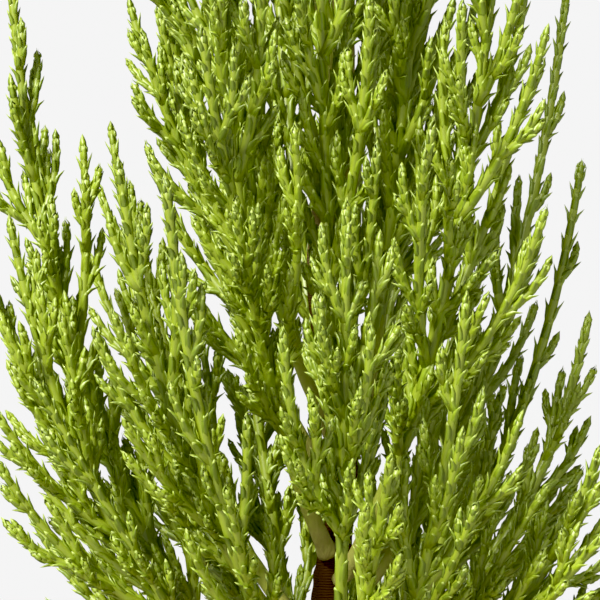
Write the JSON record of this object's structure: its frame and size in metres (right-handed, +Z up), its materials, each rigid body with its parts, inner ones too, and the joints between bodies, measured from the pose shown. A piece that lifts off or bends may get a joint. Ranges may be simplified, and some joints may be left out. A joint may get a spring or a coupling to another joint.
{
  "type": "potted monterey cypress",
  "caption": "Young upright cypress in a plain tapered clay pot, with a swaying trunk, rising boughs and narrow plumes of needle foliage.",
  "frame": {"origin": "centre of the pot's flat underside", "axes": "+Z up along the pot's axis; the pictured side faces -Y, with +X to its right"},
  "size_m": [0.0982, 0.1026, 0.308],
  "materials": {
    "clay": "unglazed, matt",
    "soil": "rough, crumbly",
    "bark": "rough bark",
    "foliage": "soft, slightly waxy"
  },
  "bodies": {
    "root": {"pot": "clay", "soil": "soil", "trunk": "bark", "bough_low_1": "bark", "bough_low_2": "bark", "bough_low_3": "bark", "bough_low_4": "bark", "bough_low_5": "bark", "bough_low_6": "bark", "bough_low_7": "bark", "bough_low_8": "bark", "bough_low_9": "bark", "bough_low_10": "bark", "bough_middle_1": "bark", "bough_middle_2": "bark", "bough_middle_3": "bark", "bough_middle_4": "bark", "bough_middle_5": "bark", "bough_middle_6": "bark", "bough_middle_7": "bark", "bough_middle_8": "bark", "bough_upper_1": "bark", "bough_upper_2": "bark", "bough_upper_3": "bark", "bough_upper_4": "bark", "bough_upper_5": "bark", "bough_upper_6": "bark", "bough_high_1": "bark", "bough_high_2": "bark", "bough_high_3": "bark", "bough_high_4": "bark", "plume_low_1": "foliage", "plume_low_2": "foliage", "plume_low_3": "foliage", "plume_low_4": "foliage", "plume_low_5": "foliage", "plume_low_6": "foliage", "plume_low_7": "foliage", "plume_low_8": "foliage", "plume_low_9": "foliage", "plume_low_10": "foliage", "plume_middle_1": "foliage", "plume_middle_2": "foliage", "plume_middle_3": "foliage", "plume_middle_4": "foliage", "plume_middle_5": "foliage", "plume_middle_6": "foliage", "plume_middle_7": "foliage", "plume_middle_8": "foliage", "plume_upper_1": "foliage", "plume_upper_2": "foliage", "plume_upper_3": "foliage", "plume_upper_4": "foliage", "plume_upper_5": "foliage", "plume_upper_6": "foliage", "plume_high_1": "foliage", "plume_high_2": "foliage", "plume_high_3": "foliage", "plume_high_4": "foliage", "plume_leader": "foliage"}
  },
  "joints": []
}
